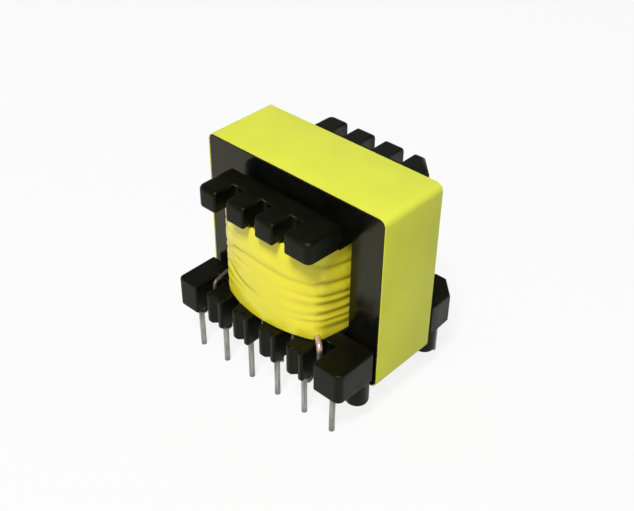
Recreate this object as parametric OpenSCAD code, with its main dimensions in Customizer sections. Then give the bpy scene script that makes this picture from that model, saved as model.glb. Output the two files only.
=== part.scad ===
// Ferrite-core transformer for board mounting: two E halves, a moulded bobbin,
// wound coils, tape wraps, twelve pins and the leads that join coils to pins.
// Z is up, the front is toward -Y, sizes are in mm. The origin is the centre of
// the pin grid on the plane of the board, where the four feet rest.

/* [Core] */
// Width of the ferrite core across its outer legs
core_width = 30; // [28:0.5:34]
// Depth of the ferrite core from its front face to its back face
core_depth = 11; // [9:0.5:14]
// Height of one core half over its back and legs
half_height = 13.15; // [12:0.05:16]
// Thickness of the back that joins the legs of one half
core_back = 5; // [3.5:0.25:6]
// Clear width of the core between its outer legs
window_width = 20; // [19:0.25:22]
// Width of the centre leg
centre_leg = 10.7; // [9:0.1:11.2]
// Air gap ground into the centre legs
air_gap = 0.3; // [0.1:0.05:1]
// Rounding of the core's outer corners
core_round = 0.9; // [0.3:0.1:2]

/* [Core tape] */
// Thickness of the tape wrapped around the core
wrap_thick = 0.15; // [0.06:0.01:0.4]

/* [Bobbin] */
// Clearance between the bobbin tube and the centre legs
tube_gap = 0.15; // [0.05:0.05:0.4]
// Wall of the bobbin tube
tube_wall = 0.9; // [0.6:0.1:1.3]
// Clearance between the bobbin flanges and the outer legs
flange_gap = 0.3; // [0.1:0.05:0.6]
// Clearance between the upper flange and the core above it
window_gap = 0.1; // [0.05:0.05:0.4]
// Thickness of the lower flange
lower_flange = 1.45; // [1:0.05:2.2]
// Thickness of the upper flange
upper_flange = 0.7; // [0.5:0.05:1.5]
// Gap between the core's faces and the bars
face_gap = 1.2; // [0.5:0.1:2]
// Gap between the core's faces and the terminal blocks
block_gap = 0.5; // [0.3:0.1:1.4]
// Height of the upper bars
bar_height = 3.15; // [2:0.05:4]
// How far the bars' underside lies over the flange's underside
bar_step = 0.3; // [0:0.05:0.45]
// Width of the slots in the upper bars
bar_slot = 1.9; // [1:0.1:2.6]
// Depth of the slots in the upper bars
bar_slot_depth = 3.3; // [1.5:0.1:4]
// Height of the terminal blocks under the coil
block_height = 4.8; // [3.5:0.1:6]
// Offset of all slots from the middle between the pins
slot_shift = -0.45; // [-0.6:0.05:0.6]
// Width of the wire slots in the terminal blocks
block_slot = 1.8; // [1.4:0.1:2.4]
// Depth of the wire slots in the terminal blocks
block_slot_depth = 4.3; // [4.1:0.1:4.8]
// Depth of the V grooves in front of the inner pins
groove = 0.65; // [0.3:0.05:1]
// Offset of the V grooves from their pins
groove_shift = -0.2; // [-0.4:0.05:0.2]
// Rounding of the first corner of each terminal tooth
tooth_round = 0.7; // [0.2:0.1:1]
// Rounding of the upright end edges
end_round = 1; // [0.3:0.1:1.5]
// Rounding of the bars' upper edges
rim_round = 0.7; // [0.2:0.1:1]
// Chamfer of the marked corner at the back right
mark_chamfer = 2.6; // [1:0.1:3]

/* [Feet] */
// Height of the core over the board
foot_height = 1.8; // [1.5:0.1:4]
// Radius of the feet
foot_radius = 1.6; // [1:0.1:1.8]
// Clearance between the feet and the core's faces
foot_gap = 0.1; // [0.05:0.05:0.3]
// How far the feet reach up beside the blocks
foot_root = 2; // [1:0.1:3]

/* [Pins] */
// Spacing of the pins along a row
pin_pitch = 5; // [4.6:0.02:5.4]
// Distance of each pin row from the core's face
pin_offset = 5.5; // [5.2:0.1:6.2]
// Plastic in front of the pins
pin_cover = 1.7; // [1.5:0.1:2.4]
// Diameter of the pins
pin_dia = 0.8; // [0.5:0.05:1]
// How much thicker the pins are where the plastic and the leads hold them
pin_swell = 0.06; // [0.04:0.01:0.1]
// Length of the pins under the board plane
pin_out = 3.5; // [2:0.1:6]
// Plastic left over the buried end of a pin
pin_roof = 1; // [0.5:0.1:2]
// Rounding of the pin tips
pin_round = 0.2; // [0.05:0.05:0.25]

/* [Coils] */
// Clearance between the outer tape and the outer legs
coil_gap = 0.35; // [0.2:0.05:0.6]
// Room left between the coils' upper ends and the upper flange
coil_top_gap = 0.1; // [0.05:0.05:0.3]
// How far the outer tape's front reaches past the pin rows
coil_reach = 0.5; // [-0.4:0.1:0.8]
// How much deeper the coils' corners lie at the front and back than at the sides
coil_build = 1.3; // [0.9:0.05:1.5]
// How far the coils' sides bow out between their corners
side_bow = 0.85; // [0.5:0.05:1]
// Corner radius of the primary coil
coil_corner = 0.3; // [0.1:0.05:0.6]
// Thickness of the insulation tape over a coil
layer_tape = 0.15; // [0.05:0.05:0.25]
// Share of the wires' room that the secondary coil takes
secondary_share = 0.39; // [0.3:0.01:0.5]
// Share of the wires' room that the auxiliary coil takes
auxiliary_share = 0.125; // [0.1:0.005:0.2]
// Thickness of the folded tape outside the coils
outer_tape = 0.55; // [0.5:0.05:0.8]
// Clearance under the folded tape
tape_gap = 0.03; // [0.02:0.01:0.08]
// Depth of the folds in the outer tape
fold_depth = 0.24; // [0.05:0.01:0.28]
// Number of folds up the height of the outer tape
fold_count = 9; // [5:1:12]
// How far the folds wander up and down around the coils
fold_sway = 0.35; // [0:0.05:0.5]
// Width of the long creases across the front and back
crease_width = 0.3; // [0.15:0.05:0.6]
// How far the outer tape's lower edge wanders
edge_wander = 0.06; // [0:0.01:0.1]

/* [Leads] */
// Diameter of the heavy lead wires
heavy_wire = 0.8; // [0.6:0.05:1]
// Diameter of the light lead wires
light_wire = 0.5; // [0.3:0.05:0.6]
// Clearance of the wires over and under the plastic
wire_gap = 0.08; // [0.04:0.02:0.2]
// Length of the middle leads held inside the coils
wire_root = 0.5; // [0.3:0.1:0.9]
// How far the light corner leads loop out past the outer tape
wire_loop = 1.7; // [1.2:0.1:2]
// Radius of the wires' bends at their inner side
wire_bend = 0.2; // [0.15:0.05:0.35]
// Distance of the corner leads from the line through the pins
wire_inset = 0.6; // [0.4:0.05:1]
// Turns of a light lead around its pin
light_turns = 1.2; // [0.5:0.1:2]
// Turns of a heavy lead around its pin
heavy_turns = 0.3; // [0.2:0.05:1]
// Clearance of a lead around its pin and in its coil
wrap_gap = 0.02; // [0.01:0.01:0.05]

/* [Hidden] */
$fn = 72;

// Heights
wrap_low = foot_height;
core_low = wrap_low + wrap_thick;
core_mid = core_low + half_height;
core_top = core_mid + half_height;
window_low = core_low + core_back;
window_top = core_top - core_back;
coil_low = window_low + lower_flange;
flange_top = window_top - window_gap;
flange_under = flange_top - upper_flange;
coil_top = flange_under - coil_top_gap;
block_low = coil_low - block_height;
bar_low = flange_under + bar_step;
bar_top = bar_low + bar_height;
bar_rim = min(rim_round, end_round);
pin_top = coil_low - pin_roof;
pin_free = block_low / 2;

// Plan
face_y = core_depth / 2;
pin_y = face_y + pin_offset;
front_y = pin_y + pin_cover;
inner_y = face_y + face_gap;
flange_x = window_width / 2 - flange_gap;
chamfer_out = (flange_x + front_y - mark_chamfer) / sqrt(2);
block_x = core_width / 2;
tube_x = centre_leg / 2 + tube_gap + tube_wall;
tube_y = face_y + tube_gap + tube_wall;
foot_x = block_x - foot_radius;
foot_y = face_y + foot_gap + foot_radius;
pin_r = pin_dia / 2;
root_r = pin_r + pin_swell / 2;

// Room for the wires between the tube and the outer legs, and the layers in it
wire_room = window_width / 2 - coil_gap - outer_tape - 2 * layer_tape - tube_x;
secondary_thick = wire_room * secondary_share;
auxiliary_thick = wire_room * auxiliary_share;

// Coil outlines: four corner centres and four wide arcs that all layers share
aux_out = 2 * layer_tape + secondary_thick + auxiliary_thick;
tape_out = aux_out + outer_tape;
coil_x = window_width / 2 - coil_gap - side_bow - tape_out - coil_corner;
coil_y = tube_y + (coil_x - tube_x) + coil_build;
bow_d = pin_y + coil_reach - tape_out - coil_y;
coil_bow = bow_d - coil_corner;
bow_r = (coil_x * coil_x + bow_d * bow_d - coil_corner * coil_corner) / (2 * coil_bow);
bow_y = coil_y + bow_d - bow_r;
bow_a = atan2(coil_x, coil_y - bow_y);
side_d = side_bow + coil_corner;
side_r = (coil_y * coil_y + side_d * side_d - coil_corner * coil_corner) / (2 * side_bow);
side_x = coil_x + side_d - side_r;
side_a = atan2(coil_y, coil_x - side_x);

// Depth of the corner leads in the outer coil, and where the light ones leave its sides
corner_hold = 0.8 * auxiliary_thick;
loop_angle = 90 - 0.75 * side_a;

// Folded tape: columns around it and rows up it
front_cols = 18;
corner_cols = 8;
side_cols = 16;
tape_rows = 45;

// Leads: sides of a wire and steps of its wrap
wire_sides = 8;
wrap_steps = 20;

// Each lead: its pin, its slot counted from the middle, its wire's diameter, turns and loop
LEADS = concat(
  [for (l = [[1, -2], [2, -1], [4, 0], [7, 2], [8, 1], [11, -1], [12, -2]])
    [l[0], l[1], light_wire, light_turns, wire_loop]],
  [for (l = [[5, 1], [6, 2]])
    [l[0], l[1], heavy_wire, heavy_turns, 0]]
);

// Pins 1 to 6 run along the front, 7 to 12 back along the far side
function pin_x(i) = i <= 6 ? (i - 3.5) * pin_pitch : (9.5 - i) * pin_pitch;
function pin_side(i) = i <= 6 ? -1 : 1;
function slot_x(n) = n * pin_pitch + slot_shift;

// Depth of a layer's bowed front at a distance from the middle
function bow_at(x, out) = bow_y + sqrt((bow_r + out) * (bow_r + out) - x * x);

function limit(v) = max(0, min(1, v));
function turned(a) = [sin(a), -cos(a)];

// Places of the corner leads in their slots: light ones halfway between the pins, heavy ones
// in the slot's middle; and the levels of all leads
corner_lead_y = pin_y - wire_inset;
function corner_lead_x(l) =
  l[4] > 0 ? abs(l[1]) * pin_pitch : abs(slot_x(l[1]));
function exit_angle(l) = atan2(corner_lead_x(l) - coil_x, corner_lead_y - coil_y);
function wrap_level(w) = block_low - wire_gap - w / 2;
function root_level(w) = coil_low + wire_gap + w / 2;

// A corner lead's place at an offset from the primary coil, at the right front corner:
// light leads leave the side square to it, heavy ones leave the corner toward their slot
function corner_place(l, out) =
  l[4] > 0
    ? [side_x, 0] + (side_r + out) * turned(loop_angle)
    : [coil_x, -coil_y] + (coil_corner + out) * turned(exit_angle(l));

// Corners of a lead's way from inside the coils to where it has left them, at the front
function root_path(l) =
  let (w = l[2], x = slot_x(l[1]), e = x > 0 ? 1 : -1)
  abs(l[1]) == 2
    ? [for (p = concat(
        [corner_place(l, aux_out - corner_hold)],
        l[4] > 0 ? [corner_place(l, tape_out + l[4])] : [],
        [[corner_lead_x(l), -corner_lead_y]]))
      [e * p[0], p[1], root_level(w)]]
    : let (y = w / 2 + wire_gap - bow_at(x, aux_out))
      [[x, y, coil_low + wire_root], [x, y, coil_low]];

// Points of a bend around a corner, from one heading to the next
function bend(corner, from, to, r) =
  let (
    t = acos(from * to),
    side = to - (to * from) * from,
    n = side / norm(side),
    c = corner - from * r * tan(t / 2) + n * r
  )
  [for (i = [0:4]) c - n * r * cos(t * i / 4) + from * r * sin(t * i / 4)];
function unit(v) = v / norm(v);

// A lead's whole route at the front: out of the coils, down its slot, across and around its pin
function lead_route(l) =
  let (
    w = l[2],
    r = w / 2,
    down = [0, 0, -1],
    root = root_path(l),
    n = len(root) - 1,
    out = unit(root[n] - root[n - 1]),
    level = wrap_level(w),
    foot = [root[n][0], root[n][1], level],
    hub = [pin_x(l[0]), -pin_y],
    away = [foot[0], foot[1]] - hub,
    hand = away[0] < 0 ? -1 : 1,
    ring = root_r + r + wrap_gap,
    start = atan2(away[1], away[0]) + hand * acos(ring / norm(away)),
    touch = hub + ring * [cos(start), sin(start)],
    run = touch - [foot[0], foot[1]],
    across = unit([run[0], run[1], 0])
  )
  concat(
    [root[0]],
    n > 1 ? bend(root[1], unit(root[1] - root[0]), out, 2 * (r + wire_bend)) : [],
    abs(l[1]) == 2 ? bend(root[n], out, down, r + wire_bend) : [],
    bend(foot, down, across, r + wire_bend),
    [for (i = [0:wrap_steps])
      let (a = start + hand * i * 360 * l[3] / wrap_steps)
      [hub[0] + ring * cos(a), hub[1] + ring * sin(a), level - i * l[3] * (w + wrap_gap) / wrap_steps]]
  );

// Directions along a route, and rings around it that turn no more than it does
function heading(p, i) = let (d = p[min(i + 1, len(p) - 1)] - p[max(i - 1, 0)]) d / norm(d);
function square_to(v, t) = let (u = v - (v * t) * t) u / norm(u);
function tube_points(p, r) =
  let (first = square_to([0.6, 0.8, 0.1], heading(p, 0)))
  [for (i = 0, n = first; i < len(p); i = i + 1, n = i < len(p) ? square_to(n, heading(p, i)) : n)
    each [for (j = [0:wire_sides - 1])
      let (a = 360 * j / wire_sides)
      p[i] + r * (n * cos(a) + cross(heading(p, i), n) * sin(a))]];
function tube_faces(m) =
  concat(
    [[for (j = [0:wire_sides - 1]) j]],
    [for (i = [0:m - 2], j = [0:wire_sides - 1])
      let (k = (j + 1) % wire_sides, q = i * wire_sides)
      each [[q + j, q + wire_sides + j, q + wire_sides + k], [q + j, q + wire_sides + k, q + k]]],
    [[for (j = [wire_sides - 1:-1:0]) (m - 1) * wire_sides + j]]
  );

module rounded(w, h, r) {
  square([w, h - 2 * r], center = true);
  square([w - 2 * r, h], center = true);
  for (x = [-1, 1], y = [-1, 1])
    translate([x * (w / 2 - r), y * (h / 2 - r)])
      circle(r);
}

// What is cut off a square corner at the origin, body toward +x and +y, to round it
module corner_cut(r) {
  difference() {
    translate([-1, -1])
      square(r + 1);
    translate([r, r])
      circle(r);
  }
}

// Lays a drawing made in X and Z along the depth of the part
module along_y(depth) {
  translate([0, depth / 2, 0])
    rotate([90, 0, 0])
      linear_extrude(depth)
        children();
}

module core_outline(grow) {
  translate([0, core_mid])
    rounded(core_width + 2 * grow, 2 * half_height + 2 * grow, core_round + grow);
}

module core_window() {
  for (s = [-1, 1])
    translate([s * (centre_leg + window_width) / 4, (window_low + window_top) / 2])
      square([(window_width - centre_leg) / 2, window_top - window_low], center = true);
  translate([0, core_mid])
    square([centre_leg + 0.1, air_gap], center = true);
}

module core_half(up) {
  along_y(core_depth)
    intersection() {
      difference() {
        core_outline(0);
        core_window();
      }
      translate([-core_width, up ? core_mid : core_mid - 2 * half_height])
        square([2 * core_width, 2 * half_height]);
    }
}

module core_upper() {
  color([0.16, 0.16, 0.17])
    core_half(true);
}

module core_lower() {
  color([0.12, 0.12, 0.13])
    core_half(false);
}

module core_tape() {
  color([0.86, 0.9, 0.28])
    along_y(core_depth)
      difference() {
        core_outline(wrap_thick);
        core_outline(0);
      }
}

// Front upper bar seen from above, between its ends
module bar_plan(marked) {
  difference() {
    translate([-flange_x, -front_y])
      square([2 * flange_x, front_y - inner_y + 0.5]);
    for (i = [-1:1])
      translate([slot_x(i) - bar_slot / 2, -front_y - 1])
        square([bar_slot, bar_slot_depth + 1]);
    if (marked)
      end_cut(flange_x, true);
  }
}

// Right front end of a bar or block: rounded, or chamfered at the marked corner
module end_cut(x, marked) {
  translate([x, -front_y])
    mirror([1, 0])
      if (marked)
        polygon([[-1, -1], [mark_chamfer + 1, -1], [-1, mark_chamfer + 1]]);
      else
        corner_cut(end_round);
}

// Front terminal block seen from above
module block_plan(marked) {
  difference() {
    translate([-block_x, -front_y])
      square([2 * block_x, front_y - face_y - block_gap]);
    for (i = [-2:2])
      translate([slot_x(i) - block_slot / 2, -front_y - 1])
        square([block_slot, block_slot_depth + 1]);
    for (i = [2:5]) {
      translate([pin_x(i) + groove_shift, -front_y])
        polygon([[-groove - 1, -1], [groove + 1, -1], [0, groove]]);
      translate([slot_x(i - 4) + block_slot / 2, -front_y])
        corner_cut(tooth_round);
    }
    translate([-block_x, -front_y])
      corner_cut(rim_round);
    end_cut(block_x, marked);
  }
}

// What is cut off a bar to round an upper edge that runs along X at a distance from the middle
module rim_cut(from, to, distance) {
  translate([from, -distance, bar_top])
    rotate([90, 0, 90])
      linear_extrude(to - from)
        mirror([0, 1])
          corner_cut(bar_rim);
}

// What is cut off the right front end of a bar to round its upright edge and its rim in one
module bar_end_cut() {
  translate([flange_x - end_round, end_round - front_y, bar_low - 1])
    difference() {
      translate([0, -end_round - 1, 0])
        cube([end_round + 1, end_round + 1, bar_height + 2]);
      rotate_extrude()
        difference() {
          square([end_round, bar_height + 1]);
          translate([end_round, bar_height + 1])
            rotate(180)
              corner_cut(bar_rim);
        }
    }
}

// Rounds a bar's upper edges: the front, both ends and, where it is marked, the chamfer
module bar_rims(marked) {
  side = front_y - end_round;
  right = marked ? flange_x + 1 : flange_x - end_round;
  rim_cut(end_round - flange_x, right, front_y);
  rotate(-90)
    rim_cut(inner_y - 1, side, flange_x);
  rotate(90)
    rim_cut(marked ? -front_y - 1 : -side, 1 - inner_y, flange_x);
  mirror([1, 0, 0])
    bar_end_cut();
  if (marked)
    rotate(45)
      rim_cut(-mark_chamfer - flange_x, mark_chamfer + flange_x, chamfer_out);
  else
    bar_end_cut();
}

module bobbin_side(marked) {
  difference() {
    translate([0, 0, bar_low])
      linear_extrude(bar_height)
        bar_plan(marked);
    bar_rims(marked);
    translate([-flange_x - 1, -inner_y, flange_top])
      cube([2 * flange_x + 2, 1, bar_height]);
  }
  difference() {
    translate([0, 0, block_low])
      linear_extrude(block_height)
        block_plan(marked);
    for (i = [1:6])
      translate([pin_x(i), -pin_y, block_low - 1])
        cylinder(h = pin_top - block_low + 1, r = root_r);
  }
  for (s = [-1, 1])
    translate([s * foot_x, -foot_y, 0])
      cylinder(h = block_low + foot_root, r = foot_radius);
}

module bobbin_plate(z, thick) {
  translate([-flange_x, -inner_y - 0.5, z])
    cube([2 * flange_x, 2 * inner_y + 1, thick]);
}

module bobbin() {
  color([0.2, 0.21, 0.19])
    difference() {
      union() {
        translate([-tube_x, -tube_y, window_low])
          cube([2 * tube_x, 2 * tube_y, flange_top - window_low]);
        bobbin_plate(window_low, lower_flange);
        bobbin_plate(flange_under, upper_flange);
        bobbin_side(false);
        mirror([0, 1, 0])
          bobbin_side(true);
      }
      translate([-tube_x + tube_wall, -tube_y + tube_wall, window_low - 1])
        cube([2 * (tube_x - tube_wall), 2 * (tube_y - tube_wall), flange_top - window_low + 2]);
    }
}

// Outline of a coil layer, grown outward from the primary coil by one offset
module coil_shape(out) {
  r = coil_corner + out;
  for (x = [-1, 1], y = [-1, 1])
    translate([x * coil_x, y * coil_y])
      circle(r);
  for (s = [-1, 1]) {
    intersection() {
      translate([0, s * bow_y])
        circle(bow_r + out, $fn = 180);
      polygon([[0, 0], [coil_x, s * coil_y], [2 * coil_x, s * (2 * coil_y - bow_y)],
        [-2 * coil_x, s * (2 * coil_y - bow_y)], [-coil_x, s * coil_y]]);
    }
    intersection() {
      translate([s * side_x, 0])
        circle(side_r + out, $fn = 240);
      polygon([[0, 0], [s * coil_x, coil_y], [s * (2 * coil_x - side_x), 2 * coil_y],
        [s * (2 * coil_x - side_x), -2 * coil_y], [s * coil_x, -coil_y]]);
    }
  }
}

module coil_ring(from, to) {
  difference() {
    translate([0, 0, coil_low])
      linear_extrude(coil_top - coil_low)
        difference() {
          coil_shape(to);
          coil_shape(from);
        }
    lead_roots();
  }
}

module primary_winding() {
  color([0.72, 0.4, 0.2])
    translate([0, 0, coil_low])
      linear_extrude(coil_top - coil_low)
        difference() {
          coil_shape(0);
          square([2 * tube_x, 2 * tube_y], center = true);
        }
}

module primary_tape() {
  color([0.9, 0.82, 0.4])
    coil_ring(0, layer_tape);
}

module secondary_winding() {
  color([0.8, 0.48, 0.26])
    coil_ring(layer_tape, layer_tape + secondary_thick);
}

module secondary_tape() {
  color([0.92, 0.85, 0.42])
    coil_ring(layer_tape + secondary_thick, aux_out - auxiliary_thick);
}

module auxiliary_winding() {
  color([0.7, 0.36, 0.18])
    coil_ring(aux_out - auxiliary_thick, aux_out);
}

// Columns of the folded tape: place, outward direction and its angle from the front
function hub_column(c, r, a) = [c + r * turned(a), turned(a), a];
function quarter(out) =
  let (r = coil_corner + out)
  concat(
    [for (i = [0:front_cols - 1]) hub_column([0, -bow_y], bow_r + out, -bow_a + 2 * bow_a * i / front_cols)],
    [for (i = [0:corner_cols - 1])
      hub_column([coil_x, -coil_y], r, bow_a + (90 - side_a - bow_a) * i / corner_cols)],
    [for (i = [0:side_cols - 1])
      hub_column([side_x, 0], side_r + out, 90 - side_a + 2 * side_a * i / side_cols)],
    [for (i = [0:corner_cols - 1])
      hub_column([coil_x, coil_y], r, 90 + side_a + (90 - side_a - bow_a) * i / corner_cols)]
  );
function columns(out) =
  let (q = quarter(out))
  concat(q, [for (c = q) [-c[0], -c[1], c[2] + 180]]);

// How much a column takes part in the folds: little in front, most at the corners
function fold_share(a) = pow(abs(sin(a)), 1.2);
function fold_level(j, a) =
  coil_low + (coil_top - coil_low) * (j + 0.5 + 0.22 * sin(137 * j + 40)) / fold_count
  + fold_sway * (sin(a * 2 + 71 * j) - 1.4 * (1 - fold_share(a)));
function fold_at(a, z) =
  let (wide = 0.24 * (coil_top - coil_low) / fold_count)
  max([for (j = [0:fold_count - 1])
    let (d = (z - fold_level(j, a)) / wide)
    (0.55 + 0.45 * sin(211 * j + a)) * exp(-d * d)]);
// Long shallow creases that cross the front and the back aslant
function crease_at(x, z) =
  let (
    d = (z - coil_low - 0.58 * (coil_top - coil_low) + 0.1 * x) / crease_width,
    e = (z - coil_low - 0.12 * (coil_top - coil_low) + 0.55 * (x + 0.3 * coil_x)) / crease_width
  )
  0.4 * exp(-d * d) + (x < 0 ? 0.35 * exp(-e * e) : 0);
function edge_pull(t) = pow(abs(2 * t - 1), 6);
function tape_skin(c, t, z) =
  let (share = fold_share(c[2]), calm = 1 - 0.5 * edge_pull(t))
  c[0] - c[1] * fold_depth * calm * (share * fold_at(c[2], z) + (1 - share) * crease_at(c[0][0], z))
  - c[1] * (outer_tape - tape_gap) * 0.25 * edge_pull(t);

// The tape's lower edge wanders a little and rides up over the corner leads
function lead_lift(l, place) =
  let (
    p = corner_place(l, tape_out),
    d = norm(place - [l[1] > 0 ? p[0] : -p[0], pin_side(l[0]) < 0 ? p[1] : -p[1]]),
    clear = l[4] > 0 ? 1.2 : 0.4
  )
  (l[2] + 2.5 * wire_gap) * limit(2 + (l[2] / 2 + clear - d) / 0.4);
function tape_foot(c) =
  coil_low + max(concat([edge_wander * (1 + sin(3 * c[2] + 20))],
    [for (l = LEADS) if (abs(l[1]) == 2) lead_lift(l, c[0])]));

module winding_tape() {
  outer = columns(tape_out);
  inner = columns(aux_out + tape_gap);
  n = len(outer);
  rows = tape_rows;
  skin = [for (i = [0:rows], c = outer)
    let (t = i / rows, foot = tape_foot(c), z = foot + (coil_top - foot) * t, p = tape_skin(c, t, z))
    [p[0], p[1], z]];
  lining = [for (t = [0, 1], j = [0:n - 1])
    [inner[j][0][0], inner[j][0][1], t == 0 ? tape_foot(outer[j]) : coil_top]];
  b = (rows + 1) * n;
  walls = [for (i = [0:rows - 1], j = [0:n - 1])
    let (k = (j + 1) % n, p = i * n)
    each [[p + j, p + n + j, p + n + k], [p + j, p + n + k, p + k]]];
  rims = [for (j = [0:n - 1])
    let (k = (j + 1) % n, t = rows * n)
    each [[t + j, b + n + j, b + n + k], [t + j, b + n + k, t + k],
      [j, k, b + k], [j, b + k, b + j],
      [b + j, b + k, b + n + k], [b + j, b + n + k, b + n + j]]];
  color([0.95, 0.88, 0.3])
    polyhedron(concat(skin, lining), concat(walls, rims));
}

module rod(a, b, r) {
  d = b - a;
  translate(a)
    rotate([0, acos(d[2] / norm(d)), atan2(d[1], d[0])])
      cylinder(h = norm(d), r = r);
}

// Room in the coils for the ends of the leads
module lead_roots() {
  for (l = LEADS)
    let (p = root_path(l))
      mirror([0, pin_side(l[0]) > 0 ? 1 : 0, 0])
        rod(p[0], p[1], l[2] / 2 + wrap_gap);
}

module lead(i) {
  l = [for (x = LEADS) if (x[0] == i) x][0];
  front = lead_route(l);
  route = [for (q = front) [q[0], -pin_side(i) * q[1], q[2]]];
  color([0.78, 0.74, 0.7])
    polyhedron(tube_points(route, l[2] / 2), tube_faces(len(route)));
}

module pin(i) {
  color([0.75, 0.75, 0.73])
    translate([pin_x(i), pin_side(i) * pin_y, -pin_out])
      rotate_extrude() {
        translate([0, pin_out + pin_free])
          square([root_r, pin_top - pin_free]);
        difference() {
          square([pin_r, pin_top + pin_out]);
          translate([pin_r, 0])
            mirror([1, 0])
              corner_cut(pin_round);
        }
      }
}

core_upper();
core_lower();
core_tape();
bobbin();
primary_winding();
primary_tape();
secondary_winding();
secondary_tape();
auxiliary_winding();
winding_tape();
pin(1);  // pin_01
pin(2);  // pin_02
pin(3);  // pin_03
pin(4);  // pin_04
pin(5);  // pin_05
pin(6);  // pin_06
pin(7);  // pin_07
pin(8);  // pin_08
pin(9);  // pin_09
pin(10);  // pin_10
pin(11);  // pin_11
pin(12);  // pin_12
lead(1);  // lead_01
lead(2);  // lead_02
lead(4);  // lead_04
lead(5);  // lead_05
lead(6);  // lead_06
lead(7);  // lead_07
lead(8);  // lead_08
lead(11);  // lead_11
lead(12);  // lead_12
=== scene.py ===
"""Looks of a board-mount ferrite transformer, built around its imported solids.

The file is laid out as an add-on: property groups hold the sizes and colours, one
operator makes each piece or group of like pieces, and a panel in the 3D view's sidebar
lists them. Run as a script it sets the stage, then makes every piece in order.
Blender works in metres here; sizes of the part are written in millimetres times MM.
"""

import math

import bmesh
import bpy
import numpy as np
from bpy.props import FloatProperty, FloatVectorProperty, IntProperty, PointerProperty
from mathutils import Matrix, Vector


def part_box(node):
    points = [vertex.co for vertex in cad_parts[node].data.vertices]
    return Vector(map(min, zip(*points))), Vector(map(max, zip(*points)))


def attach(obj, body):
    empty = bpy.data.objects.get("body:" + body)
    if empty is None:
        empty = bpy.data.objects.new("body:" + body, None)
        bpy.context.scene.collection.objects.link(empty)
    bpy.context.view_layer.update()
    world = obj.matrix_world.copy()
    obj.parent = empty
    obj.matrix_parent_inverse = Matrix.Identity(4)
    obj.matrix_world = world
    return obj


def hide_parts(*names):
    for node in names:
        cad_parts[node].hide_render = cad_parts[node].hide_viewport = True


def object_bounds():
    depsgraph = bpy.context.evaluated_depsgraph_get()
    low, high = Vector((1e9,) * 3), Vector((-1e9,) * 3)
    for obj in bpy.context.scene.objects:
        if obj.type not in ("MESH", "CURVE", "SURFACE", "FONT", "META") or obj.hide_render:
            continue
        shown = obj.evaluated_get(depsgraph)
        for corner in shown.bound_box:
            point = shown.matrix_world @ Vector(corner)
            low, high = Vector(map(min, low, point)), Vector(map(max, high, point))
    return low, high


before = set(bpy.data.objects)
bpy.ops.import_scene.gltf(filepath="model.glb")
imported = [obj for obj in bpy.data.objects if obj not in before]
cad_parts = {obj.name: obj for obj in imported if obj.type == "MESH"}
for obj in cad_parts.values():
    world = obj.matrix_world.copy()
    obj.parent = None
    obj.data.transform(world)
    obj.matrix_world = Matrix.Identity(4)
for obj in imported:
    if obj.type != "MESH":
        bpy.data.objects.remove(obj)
CAD_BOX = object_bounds()

bl_info = {
    "name": "Ferrite transformer looks",
    "version": (1, 0, 0),
    "blender": (4, 5, 0),
    "location": "View3D > Sidebar > Transformer",
    "description": "Dresses the solids of a taped ferrite transformer and sets its stage",
    "category": "Object",
}

MM = 0.001
BODY = "root"
WHITE = (1.0, 1.0, 1.0, 1.0)
RGBA = {"size": 4, "min": 0.0, "max": 1.0}

# Plan of the coils, as in the solids: corner centres, wide arcs and layers, in millimetres
COIL_X = 6.414
COIL_Y = 7.864
COIL_CORNER = 0.3
AUX_OUT = 1.536
TAPE_OUT = 2.086
TAPE_GAP = 0.03
COIL_LOW = 8.4
COIL_TOP = 22.35
BOW_R = 17.381
BOW_Y = -7.967
SIDE_R = 37.103
SIDE_X = -29.539

# Pins, slots and blocks that the leads follow, the leads themselves, the fading of their bare ends
# and the fade of the shade painted at the pins' tips, in millimetres
PIN_PITCH = 5.0
PIN_Y = 11.0
PIN_R = 0.4
PIN_ROOT_R = 0.43
SLOT_SHIFT = -0.45
BLOCK_LOW = 3.6
WIRE_GAP = 0.08
WIRE_ROOT = 0.5
WIRE_INSET = 0.6
WIRE_BEND = 0.2
WRAP_GAP = 0.02
CORNER_HOLD = 0.24
BARE_BAND = 0.3
BARE_FADE = 0.8
TIP_SHADE_FADE = 1.4
LOOP_ANGLE = math.radians(80.75)

# Rounded tips of the pins: power of their curve and the share of the radius left at the end
TIP_POWER = 2.6
TIP_LEAST = 0.3

# Steps of a lead's bends and of its turns around a pin
BEND_STEPS = 10
WRAP_STEPS = 60
LEAST_WRAP = 12

# Each lead: its pin, its slot counted from the middle, wire diameter, turns on the pin and loop
LIGHT, HEAVY = (0.5, 1.2, 1.7), (0.8, 0.3, 0.0)
LEADS = [
    (1, -2, *LIGHT), (2, -1, *LIGHT), (4, 0, *LIGHT), (5, 1, *HEAVY), (6, 2, *HEAVY),
    (7, 2, *LIGHT), (8, 1, *LIGHT), (11, -1, *LIGHT), (12, -2, *LIGHT),
]

# Rounding of the core's corners under its tape, in millimetres
CORE_CORNER = 0.9

# Turns at an edge: faces below are made one, faces below count as one, the edge from here on is
# shaded as one, an outer edge from here on is rounded
FUSED_TURN = math.radians(0.6)
FLAT_TURN = math.radians(1)
SHADED_TURN = math.radians(35)
ROUNDED_TURN = math.radians(50)

# Rounding of edges: the share of a face that it may take, how little of it is left within a band
# at a joint's level, and how close points are made one
FACE_SHARE = 0.45
JOINT_WEIGHT = 0.12
JOINT_BAND = 0.02 * MM
MERGED = 0.001 * MM

# Places of the bobbin that stay as they are, mirrored to all four corners, from and to in
# millimetres: the feet's roots, the upper flange's sides and the holes around the pins
KEPT_PLACES = [
    ((11.5, 5.4, 3.0), (15.1, 8.9, 5.8)),
    ((9.6, 0.0, 22.3), (9.8, 7.3, 23.3)),
    ((0.0, 10.4, 3.5), (13.1, 11.6, 3.7)),
]

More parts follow.
